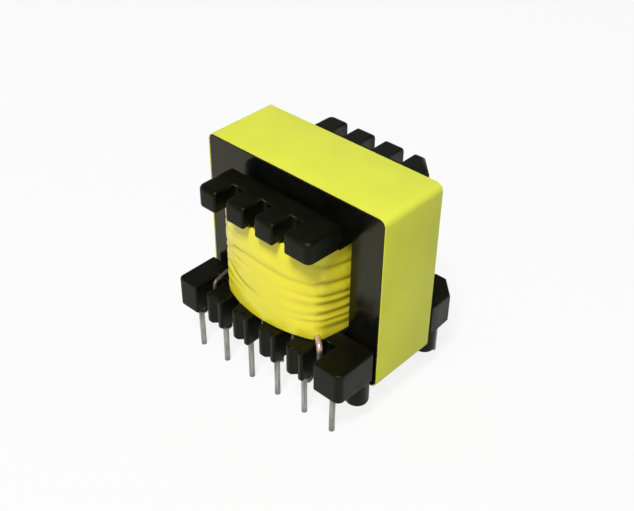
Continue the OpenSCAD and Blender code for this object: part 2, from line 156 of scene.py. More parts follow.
# Folds of the coil tape that start at the right front corner. Each has a half width and a run of
# places: distance from the corner (left of it below zero), level over the coils' foot, and depth
FOLDS = [
    (0.4, [(-17.3, 6.9, 0.1), (-15.5, 8, 0.14), (-14, 8.8, 0.13), (-12, 9.3, 0.1), (-10, 9.5, 0.11),
           (-8, 9.4, 0.1), (-6, 9.2, 0.1), (-4, 8.95, 0.09), (-2, 9, 0.08), (-0.5, 9.05, 0.12),
           (0.3, 9.1, 0.2), (2, 8.7, 0.22), (4.5, 8.2, 0.2), (9, 7.8, 0)]),
    (0.25, [(-17.3, 7.2, 0.14), (-16, 7.6, 0.12), (-14, 7.5, 0.09), (-11.5, 7.6, 0.04), (-10, 7.7, 0)]),
    (0.4, [(-17.3, 6, 0.2), (-15.5, 5.3, 0.2), (-13.5, 4.5, 0.17), (-11, 4.1, 0.12), (-9, 3.9, 0.06),
           (-7.5, 3.8, 0)]),
    (0.4, [(-2.5, 12.3, 0), (0, 11.9, 0.12), (2, 11.3, 0.18), (4, 10.9, 0.18), (8, 10.6, 0)]),
    (0.4, [(-10, 7.6, 0), (-6, 7.3, 0.015), (-3, 7.2, 0.05), (-0.3, 7.15, 0.1), (1, 6.9, 0.19),
           (2.5, 6.6, 0.2), (4.5, 6.2, 0.18), (8, 5.9, 0)]),
    (0.5, [(-9.5, 5.5, 0), (-6, 5.45, 0.02), (-3, 5.6, 0.055), (-0.5, 5.85, 0.1), (0.5, 5.75, 0.22),
           (2.5, 5.3, 0.26), (4.5, 5, 0.23), (8, 4.7, 0)]),
    (0.44, [(-8, 3.9, 0), (-5, 3.8, 0.02), (-2, 3.95, 0.055), (-0.4, 4.2, 0.12), (0.5, 4.2, 0.22),
            (2, 3.9, 0.24), (4.5, 3.55, 0.22), (8, 3.3, 0)]),
    (0.38, [(-6.5, 2.7, 0), (-4, 2.8, 0.02), (-2, 3, 0.06), (-0.3, 3.15, 0.1), (1.5, 2.9, 0.15),
            (4, 2.4, 0.14), (8, 2, 0)]),
    (0.55, [(-0.5, 1.9, 0), (1, 1.8, 0.12), (2.5, 1.4, 0.17), (4.5, 1.1, 0.17), (8, 1, 0)]),
]

# The rest of the coil tape, in millimetres: depth at which the shade painted into the folds is full, sway of
# the folds and of the lower edge, slack and its ripples around, how far face and rims lie in
FULL_FOLD_SHADE = 0.28
FOLD_SWAY = 0.025
FOOT_SWAY = 0.06
SLACK = 0.02
RIPPLES = 9
FACE_INSET = 0.02
RIM_INSET = 0.13

# Its mesh: reach of the finer stretch at a corner, how much finer it is, and points of an arc
CORNER_REACH = 2.0
CORNER_EXTRA = 2.0
ARC_POINTS = 4000

# Stage, in metres: places and sizes of the lamps, the point they are aimed at, half the floor's
# width, what the camera takes in; then its sensor, and the slopes between which the sky darkens
KEY_PLACE, KEY_SIZE = (0.157, -0.352, 0.667), 0.16
TOP_PLACE, TOP_SIZE = (-0.1, -0.2, 0.8), 0.6
LAMP_AIM = Vector((0.0, 0.0, 0.014))
FLOOR_HALF = 1.2
NEAR, FAR = 0.005, 10.0
SENSOR_MM = 36.0
SKY_LOW, SKY_HIGH = 0.12, 0.5


class CoreLook(bpy.types.PropertyGroup):
    """Ferrite halves and the tape around them."""

    ferrite: FloatVectorProperty(
        name="Ferrite", description="Colour of the ground ferrite", subtype="COLOR",
        default=(0.003, 0.003, 0.0022, 1.0), **RGBA)
    ferrite_edge: FloatProperty(
        name="Ferrite edge", description="Rounding of the ferrite's edges", unit="LENGTH",
        default=0.16 * MM, precision=5)
    tape: FloatVectorProperty(
        name="Core tape", description="Colour of the tape around the core", subtype="COLOR",
        default=(0.66, 0.69, 0.066, 1.0), **RGBA)
    tape_waver: FloatProperty(
        name="Tape waver", description="How far the tape's edges wander", unit="LENGTH",
        default=0.05 * MM, precision=6)


class BobbinLook(bpy.types.PropertyGroup):
    """The moulded bobbin."""

    plastic: FloatVectorProperty(
        name="Plastic", description="Colour of the moulded plastic", subtype="COLOR",
        default=(0.0024, 0.0026, 0.0014, 1.0), **RGBA)
    edge: FloatProperty(
        name="Edge", description="Rounding of the moulded edges", unit="LENGTH",
        default=0.34 * MM, precision=5)


class CoilLook(bpy.types.PropertyGroup):
    """Coils and the folded tape around them."""

    tape: FloatVectorProperty(
        name="Coil tape", description="Colour of the folded tape", subtype="COLOR",
        default=(0.85, 0.765, 0.03, 1.0), **RGBA)
    # Painted shade: this darker colour is laid into the tape's folds in place of the shade that falls in
    # them.
    crease_shade: FloatVectorProperty(
        name="Crease", description="Colour of the tape down in its folds", subtype="COLOR",
        default=(0.42, 0.33, 0.003, 1.0), **RGBA)
    copper: FloatVectorProperty(
        name="Coil wire", description="Colour of the enamelled wire", subtype="COLOR",
        default=(0.36, 0.12, 0.045, 1.0), **RGBA)
    seed: IntProperty(name="Seed", description="Seed of the folds on the hidden sides", default=7)
    columns: IntProperty(
        name="Columns", description="Columns of the tape's mesh around the coils", default=440)
    rows: IntProperty(name="Rows", description="Rows of the tape's mesh up the coils", default=150)


class WireLook(bpy.types.PropertyGroup):
    """Pins and leads."""

    tin: FloatVectorProperty(
        name="Tin", description="Colour of the tinned pins", subtype="COLOR",
        default=(0.4, 0.395, 0.35, 1.0), **RGBA)
    dull: FloatVectorProperty(
        name="Dull tin", description="Colour of the tinned leads", subtype="COLOR",
        default=(0.19, 0.165, 0.158, 1.0), **RGBA)
    bare: FloatVectorProperty(
        name="Bare wire", description="Colour of the leads where they leave the coils",
        subtype="COLOR", default=(0.72, 0.52, 0.44, 1.0), **RGBA)
    # Painted shade: the pins' tips are painted darkest at this level.
    tip_shade_level: FloatProperty(
        name="Tip level", description="Level at which the pins' tips are dullest", unit="LENGTH",
        default=-3.6 * MM, precision=5)
    lean: FloatProperty(
        name="Pin lean", description="How far the pins lean", subtype="ANGLE",
        default=math.radians(0.8))
    sides: IntProperty(name="Sides", description="Sides of pins and leads", default=20)


class StageLook(bpy.types.PropertyGroup):
    """Camera, lamps and floor."""

    azimuth: FloatProperty(
        name="Azimuth", description="Camera's turn from the front", subtype="ANGLE",
        default=math.radians(42.12))
    elevation: FloatProperty(
        name="Elevation", description="Camera's height angle", subtype="ANGLE",
        default=math.radians(36.7))
    roll: FloatProperty(
        name="Roll", description="Camera's roll", subtype="ANGLE", default=math.radians(0.83))
    offset: FloatVectorProperty(
        name="Offset", description="Right, up and back from the core's foot to the camera",
        subtype="TRANSLATION", size=3, default=(-0.26 * MM, 8.84 * MM, 141.87 * MM), precision=5)
    lens: FloatProperty(name="Lens", description="Focal length in millimetres", default=56.55)
    sky: FloatProperty(
        name="Sky", description="Light level of the surroundings overhead", default=0.11)
    key: FloatProperty(
        name="Key", description="Power of the front lamp", unit="POWER", default=6.1)
    top: FloatProperty(
        name="Top", description="Power of the upper lamp", unit="POWER", default=0.4)
    floor: FloatVectorProperty(
        name="Floor", description="Colour of the floor", subtype="COLOR",
        default=(0.72, 0.72, 0.72, 1.0), **RGBA)
    bounce: FloatProperty(
        name="Bounce", description="How much of its light the floor gives back to the part",
        default=0.62, min=0.0, max=1.0)
    glow: FloatProperty(
        name="Glow", description="Share of plain white in the floor as it is seen",
        default=0.86, min=0.0, max=1.0)


class TransformerLook(bpy.types.PropertyGroup):
    """All settings of the transformer's looks."""

    core: PointerProperty(type=CoreLook)
    bobbin: PointerProperty(type=BobbinLook)
    coil: PointerProperty(type=CoilLook)
    wire: PointerProperty(type=WireLook)
    stage: PointerProperty(type=StageLook)


# Node trees


def fill(tree, node, values):
    """Sets or links a node's inputs by name or number."""
    for name, value in values.items():
        if isinstance(value, bpy.types.NodeSocket):
            tree.links.new(value, node.inputs[name])
        else:
            node.inputs[name].default_value = value


def put(tree, kind, values=None, **settings):
    """Adds a node, sets its properties and fills its inputs."""
    node = tree.nodes.new(kind)
    for name, value in settings.items():
        setattr(node, name, value)
    fill(tree, node, values or {})
    return node


def calc(tree, operation, a, b, **settings):
    """Result of a sum on two numbers, each a value or a socket."""
    return put(tree, "ShaderNodeMath", {0: a, 1: b}, operation=operation, **settings).outputs[0]


def noise(tree, place, scale, detail):
    """Soft noise at a place."""
    return put(tree, "ShaderNodeTexNoise", {
        "Vector": place, "Scale": scale, "Detail": detail}).outputs["Fac"]


def height_of(tree, place):
    """A place's height, or the slope of a direction."""
    return put(tree, "ShaderNodeSeparateXYZ", {"Vector": place}).outputs["Z"]


def new_group(name, kind, inputs, outputs):
    """Makes an empty node group; returns it with its input and output nodes.

    A number as an input's value is its default, and a text names its kind of socket.
    """
    tree = bpy.data.node_groups.new(name, kind)
    for label, value in inputs.items():
        socket = {float: "Float", int: "Int"}.get(type(value), value)
        made = tree.interface.new_socket(label, in_out="INPUT", socket_type=f"NodeSocket{socket}")
        if socket is not value:
            made.default_value = value
    for label, socket in outputs.items():
        tree.interface.new_socket(label, in_out="OUTPUT", socket_type=f"NodeSocket{socket}")
    return tree, tree.nodes.new("NodeGroupInput"), tree.nodes.new("NodeGroupOutput")


def shader_group(name, build, inputs, outputs):
    """A shader group, built the first time it is asked for."""
    if name not in bpy.data.node_groups:
        tree, start, end = new_group(
            name, "ShaderNodeTree", {"Vector": "Vector", **inputs}, dict.fromkeys(outputs, "Float"))
        fill(tree, end, build(tree, start.outputs))
    return bpy.data.node_groups[name]


def build_grain(tree, given):
    return {"Height": noise(tree, given["Vector"], given["Grain"], 3.0),
            "Mottle": noise(tree, given["Vector"], given["Mottle"], 4.0)}


def grain_group():
    """Fine grain and slow mottling of moulded and ground surfaces."""
    return shader_group(
        "Surface grain", build_grain, {"Grain": 6000.0, "Mottle": 300.0}, ["Height", "Mottle"])


def build_film(tree, given):
    slant = put(tree, "ShaderNodeMapping", {
        "Vector": given["Vector"], "Rotation": given["Turn"], "Scale": (1.0, 1.0, 0.25)})
    streak = noise(tree, slant.outputs[0], given["Streak"], 2.0)
    cloud = noise(tree, given["Vector"], given["Cloud"], 3.0)
    return {"Height": calc(tree, "MULTIPLY", calc(tree, "ADD", streak, cloud), 0.5), "Cloud": cloud}


def film_group():
    """Faint streaks and clouds of a stretched plastic film."""
    return shader_group(
        "Film", build_film, {"Turn": "Vector", "Streak": 900.0, "Cloud": 160.0}, ["Height", "Cloud"])


def build_drawn(tree, given):
    long = put(tree, "ShaderNodeMapping", {"Vector": given["Vector"], "Scale": (1.0, 1.0, 0.06)})
    return {"Line": noise(tree, long.outputs[0], given["Lines"], 2.0),
            "Blot": noise(tree, given["Vector"], given["Blots"], 3.0)}


def drawn_group():
    """Lengthwise lines and blots of tinned wire that stands upright."""
    return shader_group("Drawn wire", build_drawn, {"Lines": 5000.0, "Blots": 700.0}, ["Line", "Blot"])


# Materials


def new_material(name, group=None, **values):
    """A new material; returns it, its tree, shader and Object coordinates, and a group's outputs."""
    material = bpy.data.materials.new(name)
    material.use_nodes = True
    tree = material.node_tree
    tree.nodes.clear()
    shader = put(tree, "ShaderNodeBsdfPrincipled")
    put(tree, "ShaderNodeOutputMaterial", {"Surface": shader.outputs[0]})
    place = put(tree, "ShaderNodeTexCoord").outputs["Object"]
    given = group and put(tree, "ShaderNodeGroup", {"Vector": place, **values}, node_tree=group).outputs
    return material, tree, shader, place, given


def blend(tree, factor, a, b):
    """Colour between a and b by a factor; each may be a value or a socket."""
    return put(tree, "ShaderNodeMix", {0: factor, 6: a, 7: b}, data_type="RGBA").outputs[2]


def spread(tree, value, low, high, start=0.3, stop=0.7):
    """Maps a value onto a range, with a soft start and stop."""
    return put(tree, "ShaderNodeMapRange", {
        "Value": value, "From Min": start, "From Max": stop, "To Min": low, "To Max": high},
        interpolation_type="SMOOTHSTEP").outputs[0]


def bump(tree, height, distance, strength=1.0):
    """Normal of a surface with fine relief."""
    return put(tree, "ShaderNodeBump", {
        "Height": height, "Distance": distance, "Strength": strength}).outputs[0]


def scaled(colour, factor):
    """A colour made lighter or darker."""
    return (*[min(1.0, c * factor) for c in colour[:3]], 1.0)


def mottled(tree, value, colour, factor):
    """A colour that is made lighter or darker in places."""
    return blend(tree, spread(tree, value, 0.0, 1.0), colour, scaled(colour, factor))


def ferrite_material(look):
    material, tree, shader, _, grain = new_material(
        "Ground ferrite", grain_group(), Grain=5200.0, Mottle=420.0)
    fill(tree, shader, {
        "Base Color": mottled(tree, grain["Mottle"], look.ferrite, 1.6),
        "Roughness": spread(tree, grain["Mottle"], 0.16, 0.24),
        "Normal": bump(tree, grain["Height"], 0.002 * MM, 0.5),
        "IOR": 1.4, "Specular Tint": (1.0, 0.97, 0.5, 1.0)})
    return material


def plastic_material(look):
    material, tree, shader, _, grain = new_material(
        "Moulded plastic", grain_group(), Grain=4200.0, Mottle=260.0)
    fill(tree, shader, {
        "Base Color": mottled(tree, grain["Mottle"], look.plastic, 1.35),
        "Roughness": spread(tree, grain["Mottle"], 0.36, 0.46),
        "Normal": bump(tree, grain["Height"], 0.012 * MM, 0.6),
        "Specular IOR Level": 0.14, "Specular Tint": (0.98, 1.0, 0.6, 1.0)})
    return material


def core_tape_material(look):
    material, tree, shader, _, film = new_material(
        "Core tape", film_group(), Turn=(0.2, 0.3, 0.4), Streak=700.0, Cloud=110.0)
    fill(tree, shader, {
        "Base Color": mottled(tree, film["Cloud"], look.tape, 0.93),
        "Roughness": spread(tree, film["Cloud"], 0.34, 0.44),
        "Normal": bump(tree, film["Height"], 0.02 * MM, 0.5),
        "Specular IOR Level": 0.08})
    return material


def coil_tape_material(look):
    material, tree, shader, _, film = new_material(
        "Coil tape", film_group(), Turn=(0.5, 0.2, 0.3), Streak=1100.0, Cloud=140.0)
    # Painted shade: the tape's colour is drawn toward the darker shade colour by how deep each point lies in
    # the folds.
    fold = put(tree, "ShaderNodeAttribute", attribute_name="fold").outputs["Fac"]
    light = mottled(tree, film["Cloud"], look.tape, 0.94)
    fill(tree, shader, {
        "Base Color": blend(tree, fold, light, look.crease_shade),
        "Roughness": spread(tree, film["Cloud"], 0.285, 0.345),
        "Normal": bump(tree, film["Height"], 0.03 * MM, 0.5),
        "IOR": 1.7, "Specular Tint": (1.0, 0.95, 0.55, 1.0)})
    return material


def layer_tape_material(look):
    material, tree, shader, _, film = new_material("Layer tape", film_group(), Streak=800.0, Cloud=150.0)
    fill(tree, shader, {
        "Base Color": blend(tree, film["Cloud"], scaled(look.tape, 0.8), scaled(look.tape, 0.7)),
        "Roughness": 0.35})
    return material


def coil_wire_material(look):
    material, tree, shader, place, _ = new_material("Enamelled wire")
    rounds = put(tree, "ShaderNodeTexWave", {"Vector": place, "Scale": 1000.0, "Distortion": 0.4},
                 bands_direction="Z").outputs["Fac"]
    fill(tree, shader, {
        "Base Color": blend(tree, rounds, scaled(look.copper, 0.6), look.copper),
        "Normal": bump(tree, rounds, 0.08 * MM), "Metallic": 0.6, "Roughness": 0.3})
    return material


def pin_material(look):
    """Tinned wire with darker streaks and blots, and shade painted darker toward the tips."""
    material, tree, shader, place, drawn = new_material(
        "Tinned pin", drawn_group(), Lines=5200.0, Blots=600.0)
    streaks = blend(tree, spread(tree, drawn["Line"], 0.0, 1.0, 0.42, 0.6), look.tin, scaled(look.tin, 0.5))
    blots = blend(tree, spread(tree, drawn["Blot"], 0.0, 0.6), streaks, scaled(look.tin, 0.75))
    # Painted shade: the colour darkens toward the pins' tips in place of the shade down there.
    tip = spread(tree, height_of(tree, place), 0.7, 0.0, look.tip_shade_level, look.tip_shade_level + TIP_SHADE_FADE * MM)
    fill(tree, shader, {
        "Base Color": blend(tree, tip, blots, scaled(look.tin, 0.35)),
        "Roughness": spread(tree, drawn["Line"], 0.3, 0.46),
        "Normal": bump(tree, drawn["Line"], 0.01 * MM, 0.5), "Metallic": 0.6})
    return material


def lead_material(look, name, bare_top):
    """Tinned wire; the copper shows through above a level of its own."""
    material, tree, shader, place, drawn = new_material(name, drawn_group(), Lines=4200.0, Blots=900.0)
    bare = spread(tree, height_of(tree, place), 0.0, 1.0, bare_top - BARE_FADE * MM, bare_top)
    metal = blend(tree, bare, look.dull, look.bare)
    fill(tree, shader, {
        "Base Color": blend(tree, spread(tree, drawn["Blot"], 0.0, 0.3), metal, scaled(look.dull, 0.5)),
        "Roughness": spread(tree, drawn["Line"], 0.36, 0.5), "Metallic": 0.7})
    return material


# Pieces


def on_scene(name, data):
    """A new object at the scene's origin."""
    made = bpy.data.objects.new(name, data)
    bpy.context.scene.collection.objects.link(made)
    return made


def show(name, mesh, material):
    """Puts a mesh on the scene with its material."""
    mesh.materials.clear()
    mesh.materials.append(material)
    return on_scene(name, mesh)


def settle(piece, slot, *nodes):
    """Lets a piece stand for its solids and ride on the part."""
    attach(piece, BODY)
    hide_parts(*nodes)


def as_mesh(worker, name):
    """Plain mesh of an object with its modifiers, which is then removed."""
    bpy.context.view_layer.update()
    mesh = bpy.data.meshes.new_from_object(worker.evaluated_get(bpy.context.evaluated_depsgraph_get()))
    mesh.name = name
    bpy.data.objects.remove(worker)
    return mesh


def run_tree(tree, name, data, inputs):
    """Runs a geometry tree on mesh or curve data and returns the result as a plain mesh."""
    worker = on_scene(name, data)
    modifier = worker.modifiers.new(tree.name, "NODES")
    modifier.node_group = tree
    sockets = {item.name: item.identifier for item in tree.interface.items_tree if item.in_out == "INPUT"}
    for label, value in inputs.items():
        modifier[sockets[label]] = value
    return as_mesh(worker, name)


def lies_flat(edge):
    """Whether the faces at an edge count as one."""
    return edge.is_manifold and edge.calc_face_angle() < FLAT_TURN


def face_reach(loop):
    """How far the surface beside a face's edge reaches, square to the edge from its middle."""
    edge, normal = loop.edge, loop.face.normal
    middle = (edge.verts[0].co + edge.verts[1].co) / 2
    along = (loop.link_loop_next.vert.co - loop.vert.co).normalized()
    inward = normal.cross(along)
    reach = math.inf
    surface = [loop.face]
    for face in surface:
        for other in face.edges:
            if other is not edge and lies_flat(other):
                surface += [near for near in other.link_faces if near not in surface]
            elif other is not edge:
                off = [v.co - middle for v in other.verts]
                (a, p), (b, q) = [(v.dot(inward), v.dot(along)) for v in off]
                if p * q <= 0 and p != q:
                    cross = a + (b - a) * p / (p - q)
                    reach = min(reach, cross if cross > MERGED else math.inf)
    return reach


def is_kept(edge, places):
    """Whether an edge lies within one of the places that are left as they are."""
    return any(
        all(a * MM <= abs(c) <= b * MM for v in edge.verts for a, c, b in zip(low, v.co, high))
        for low, high in places)


def rounded_copy(node, name, width, joint=None, kept=()):
    """Mesh of a solid with its outer edges rounded as far as there is room beside them.

    Edges that lie at a joint's level are hardly rounded.
    """
    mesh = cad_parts[node].data.copy()
    work = bmesh.new()
    work.from_mesh(mesh)
    bmesh.ops.remove_doubles(work, verts=work.verts, dist=MERGED)
    bmesh.ops.dissolve_limit(work, angle_limit=FUSED_TURN, verts=work.verts, edges=work.edges)
    for face in work.faces:
        face.smooth = True
    weight = work.edges.layers.float.new("bevel_weight_edge")
    for edge in work.edges:
        turn = edge.calc_face_angle() if edge.is_manifold else 0.0
        edge.smooth = turn < SHADED_TURN
        if turn > ROUNDED_TURN and edge.is_convex and not is_kept(edge, kept):
            edge.smooth = True
            close = joint is not None and all(abs(vert.co.z - joint) < JOINT_BAND for vert in edge.verts)
            room = FACE_SHARE * min(face_reach(loop) for loop in edge.link_loops)
            edge[weight] = JOINT_WEIGHT if close else min(1.0, room / width)
    work.to_mesh(mesh)
    work.free()
    worker = on_scene(name, mesh)
    bevel = worker.modifiers.new("Edges", "BEVEL")
    bevel.width = width
    bevel.segments = 3
    bevel.limit_method = "WEIGHT"
    bevel.use_clamp_overlap = False
    worker.modifiers.new("Normals", "WEIGHTED_NORMAL").keep_sharp = True
    return as_mesh(worker, name)


def open_tree(name, sizes):
    """A geometry tree with named sizes and a material; returns it, its inputs and its end."""
    tree, start, end = new_group(
        name, "GeometryNodeTree", {"Geometry": "Geometry", **sizes, "Material": "Material"},
        {"Geometry": "Geometry"})
    return tree, start.outputs, end


def close_tree(tree, end, shape, material):
    """Ends a geometry tree with one plain, smooth mesh of one material."""
    plain = put(tree, "GeometryNodeRealizeInstances", {"Geometry": shape.outputs[0]})
    smooth = put(tree, "GeometryNodeSetShadeSmooth", {"Geometry": plain.outputs[0]})
    done = put(tree, "GeometryNodeSetMaterial", {"Geometry": smooth.outputs[0], "Material": material})
    tree.links.new(done.outputs[0], end.inputs[0])
    return tree


def swept(tree, given, curve):
    """A round rod along a curve, with the radius and the sides that a tree is given."""
    ring = put(tree, "GeometryNodeCurvePrimitiveCircle", {
        "Radius": given["Radius"], "Resolution": given["Sides"]})
    return put(tree, "GeometryNodeCurveToMesh", {
        "Curve": curve, "Profile Curve": ring.outputs[0], "Fill Caps": True})


def wrapped_tape_tree():
    """Tape of a given width laid around a block with rounded corners, its loop upright."""
    tree, given, end = open_tree("Wrapped tape", {
        "Width": 30.15 * MM, "Height": 26.45 * MM, "Corner": 1.0 * MM, "Tape width": 11.0 * MM,
        "Thickness": 0.15 * MM, "Middle": "Vector", "Waver": 0.05 * MM})
    block = put(tree, "GeometryNodeCurvePrimitiveQuadrilateral", {
        "Width": given["Width"], "Height": given["Height"]})
    loop = put(tree, "GeometryNodeFilletCurve", {
        "Curve": block.outputs[0], "Radius": given["Corner"], "Count": 12}, mode="POLY")
    path = put(tree, "GeometryNodeResampleCurve", {
        "Curve": loop.outputs[0], "Length": 0.25 * MM}, mode="LENGTH")
    strip = put(tree, "GeometryNodeCurvePrimitiveQuadrilateral", {
        "Width": given["Thickness"], "Height": given["Tape width"]})
    third = calc(tree, "MULTIPLY", given["Thickness"], 0.35)
    soft = put(tree, "GeometryNodeFilletCurve", {
        "Curve": strip.outputs[0], "Radius": third, "Count": 3}, mode="POLY")
    tape = put(tree, "GeometryNodeCurveToMesh", {
        "Curve": path.outputs[0], "Profile Curve": soft.outputs[0]})
    upright = put(tree, "GeometryNodeTransform", {
        "Geometry": tape.outputs[0], "Translation": given["Middle"], "Rotation": (math.pi / 2, 0.0, 0.0)})
    place = put(tree, "GeometryNodeInputPosition")
    waves = put(tree, "ShaderNodeTexNoise", {"Vector": place.outputs[0], "Scale": 90.0, "Detail": 2.0})
    wave = put(tree, "ShaderNodeSeparateXYZ", {"Vector": waves.outputs["Color"]}).outputs["Y"]
    shift = calc(tree, "MULTIPLY", calc(tree, "SUBTRACT", wave, 0.5), given["Waver"])
    sideways = put(tree, "ShaderNodeCombineXYZ", {"Y": shift})
    moved = put(tree, "GeometryNodeSetPosition", {
        "Geometry": upright.outputs[0], "Offset": sideways.outputs[0]})
    return close_tree(tree, end, moved, given["Material"])


def pin_row_tree():
    """A row of upright pins with rounded tips that lean a little, each its own way."""
    tree, given, end = open_tree("Pin row", {
        "Count": 6, "First": "Vector", "Pitch": PIN_PITCH * MM, "Top": 8.0 * MM, "Tip": -3.5 * MM,
        "Radius": PIN_R * MM, "Lean": 0.01, "Sides": 20, "Seed": 3})
    step = put(tree, "ShaderNodeCombineXYZ", {"X": given["Pitch"]})
    row = put(tree, "GeometryNodeMeshLine", {
        "Count": given["Count"], "Start Location": given["First"], "Offset": step.outputs[0]}, mode="OFFSET")
    top = put(tree, "ShaderNodeCombineXYZ", {"Z": given["Top"]})
    tip = put(tree, "ShaderNodeCombineXYZ", {"Z": given["Tip"]})
    line = put(tree, "GeometryNodeCurvePrimitiveLine", {"Start": top.outputs[0], "End": tip.outputs[0]})
    fine = put(tree, "GeometryNodeResampleCurve", {
        "Curve": line.outputs[0], "Length": 0.05 * MM}, mode="LENGTH")
    place = put(tree, "GeometryNodeInputPosition")
    over = calc(tree, "SUBTRACT", height_of(tree, place.outputs[0]), given["Tip"])
    share = calc(tree, "DIVIDE", over, given["Radius"], use_clamp=True)
    drop = calc(tree, "POWER", calc(tree, "SUBTRACT", 1.0, share), TIP_POWER)
    dome = calc(tree, "POWER", calc(tree, "SUBTRACT", 1.0, drop), 0.5)
    shaped = put(tree, "GeometryNodeSetCurveRadius", {
        "Curve": fine.outputs[0], "Radius": calc(tree, "MAXIMUM", dome, TIP_LEAST)})
    pin = swept(tree, given, shaped.outputs[0])
    back = calc(tree, "MULTIPLY", given["Lean"], -1.0)
    least = put(tree, "ShaderNodeCombineXYZ", {"X": back, "Y": back})
    most = put(tree, "ShaderNodeCombineXYZ", {"X": given["Lean"], "Y": given["Lean"]})
    lean = put(tree, "FunctionNodeRandomValue", {
        "Min": least.outputs[0], "Max": most.outputs[0], "Seed": given["Seed"]}, data_type="FLOAT_VECTOR")
    pins = put(tree, "GeometryNodeInstanceOnPoints", {
        "Points": row.outputs[0], "Instance": pin.outputs[0], "Rotation": lean.outputs[0]})
    return close_tree(tree, end, pins, given["Material"])


def swept_wire_tree():
    """A round wire along the curve that it is given."""
    tree, given, end = open_tree("Swept wire", {"Radius": 0.25 * MM, "Sides": 20})
    return close_tree(tree, end, swept(tree, given, given["Geometry"]), given["Material"])


# Routes of the leads


def pin_place(pin):
    """Place of a pin in plan: 1 to 6 along the front, 7 to 12 back along the far side."""
    return ((pin - 3.5) * PIN_PITCH, -PIN_Y) if pin <= 6 else ((9.5 - pin) * PIN_PITCH, PIN_Y)


def slot_place(slot):
    return slot * PIN_PITCH + SLOT_SHIFT


def heading(angle):
    """Direction in plan, turned from the front toward the right."""
    return Vector((math.sin(angle), -math.cos(angle)))


def corner_slot(slot, loop):
    """Where a corner lead goes down its slot, at the right front corner."""
    return Vector((abs(slot) * PIN_PITCH if loop else abs(slot_place(slot)), WIRE_INSET - PIN_Y))


def corner_place(slot, loop, out):
    """A corner lead's place at an offset from the primary coil, at the right front corner."""
    if loop:
        return Vector((SIDE_X, 0.0)) + (SIDE_R + out) * heading(LOOP_ANGLE)
    hub = Vector((COIL_X, -COIL_Y))
    return hub + (COIL_CORNER + out) * (corner_slot(slot, loop) - hub).normalized()


def bend(corner, before, after, radius):
    """Points of a bend around a corner, from one heading to the next."""
    turn = before.angle(after)
    side = (after - before * after.dot(before)).normalized()
    middle = corner - before * radius * math.tan(turn / 2) + side * radius
    angles = [turn * i / BEND_STEPS for i in range(BEND_STEPS + 1)]
    return [middle - side * radius * math.cos(t) + before * radius * math.sin(t) for t in angles]


def lead_route(pin, slot, wire, turns, loop):
    """Points of a lead from inside the coils down its slot and around its pin."""
    half = wire / 2
    down = Vector((0.0, 0.0, -1.0))
    radius = half + WIRE_BEND
    level = BLOCK_LOW - WIRE_GAP - half
    if abs(slot) == 2:
        hand = math.copysign(1.0, slot)
        offsets = [AUX_OUT - CORNER_HOLD] + ([TAPE_OUT + loop] if loop else [])
        way = [corner_place(slot, loop, out) for out in offsets] + [corner_slot(slot, loop)]
        way = [Vector((hand * p.x, p.y, COIL_LOW + WIRE_GAP + half)) for p in way]
        heads = [(b - a).normalized() for a, b in zip(way, way[1:])] + [down]
        route = [way[0]]
        for place, before, after in zip(way[1:], heads, heads[1:]):
            route += bend(place, before, after, radius if after is down else 2 * radius)
    else:
        x = slot_place(slot)
        y = half + WIRE_GAP - (BOW_Y + math.sqrt((BOW_R + AUX_OUT) ** 2 - x * x))
        way = [Vector((x, y, COIL_LOW + WIRE_ROOT))]
        route = list(way)
    foot = Vector((way[-1].x, way[-1].y, level))
    hub = Vector((pin_place(pin)[0], -PIN_Y))
    away = foot.xy - hub
    turn = -1.0 if away.x < 0 else 1.0
    ring = PIN_ROOT_R + half + WRAP_GAP
    start = math.atan2(away.y, away.x) + turn * math.acos(ring / away.length)
    touch = hub + ring * Vector((math.cos(start), math.sin(start)))
    across = (touch - foot.xy).to_3d().normalized()
    route += bend(foot, down, across, radius)
    steps = max(LEAST_WRAP, int(WRAP_STEPS * turns))
    for i in range(steps + 1):
        a = start + turn * 2 * math.pi * turns * i / steps
        route.append(Vector((hub.x + ring * math.cos(a), hub.y + ring * math.sin(a),
                             level - turns * (wire + WRAP_GAP) * i / steps)))
    side = -1.0 if pin > 6 else 1.0
    return [Vector((p.x, side * p.y, p.z)) * MM for p in route]


# Folded tape around the coils


def off_corner(run, corner, whole):
    """Distance along the outline from a corner, the short way around."""
    return (run - corner + whole / 2) % whole - whole / 2


